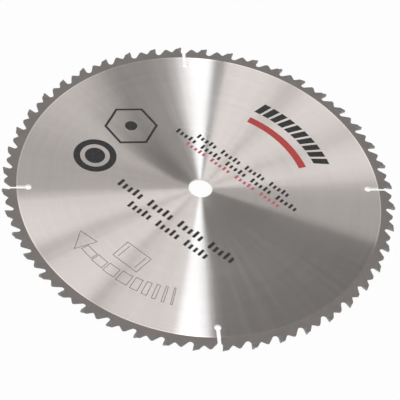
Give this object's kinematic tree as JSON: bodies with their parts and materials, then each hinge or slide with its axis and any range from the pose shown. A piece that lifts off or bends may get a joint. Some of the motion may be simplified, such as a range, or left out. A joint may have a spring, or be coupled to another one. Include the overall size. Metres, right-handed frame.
{
  "type": "circular saw blade",
  "caption": "Flat round saw blade for firewood, with carbide-tipped hooked teeth, a chip limiter between teeth, radial expansion slots with round ends and a central bore.",
  "frame": {"origin": "centre of the bore, on the plate's mid-plane", "axes": "+Z along the bore, out of the marked face; +X and +Y along two of the four expansion slots. Seen from +Z the teeth point clockwise."},
  "size_m": [0.5, 0.5, 0.004],
  "materials": {
    "plate_steel": "circular brushed, dull blasted rim",
    "carbide": "ground, satin"
  },
  "bodies": {
    "root": {"saw_plate": "plate_steel", "carbide_tip_01": "carbide", "carbide_tip_02": "carbide", "carbide_tip_03": "carbide", "carbide_tip_04": "carbide", "carbide_tip_05": "carbide", "carbide_tip_06": "carbide", "carbide_tip_07": "carbide", "carbide_tip_08": "carbide", "carbide_tip_09": "carbide", "carbide_tip_10": "carbide", "carbide_tip_11": "carbide", "carbide_tip_12": "carbide", "carbide_tip_13": "carbide", "carbide_tip_14": "carbide", "carbide_tip_15": "carbide", "carbide_tip_16": "carbide", "carbide_tip_17": "carbide", "carbide_tip_18": "carbide", "carbide_tip_19": "carbide", "carbide_tip_20": "carbide", "carbide_tip_21": "carbide", "carbide_tip_22": "carbide", "carbide_tip_23": "carbide", "carbide_tip_24": "carbide", "carbide_tip_25": "carbide", "carbide_tip_26": "carbide", "carbide_tip_27": "carbide", "carbide_tip_28": "carbide", "carbide_tip_29": "carbide", "carbide_tip_30": "carbide", "carbide_tip_31": "carbide", "carbide_tip_32": "carbide", "carbide_tip_33": "carbide", "carbide_tip_34": "carbide", "carbide_tip_35": "carbide", "carbide_tip_36": "carbide", "carbide_tip_37": "carbide", "carbide_tip_38": "carbide", "carbide_tip_39": "carbide", "carbide_tip_40": "carbide", "carbide_tip_41": "carbide", "carbide_tip_42": "carbide", "carbide_tip_43": "carbide", "carbide_tip_44": "carbide"}
  },
  "joints": []
}
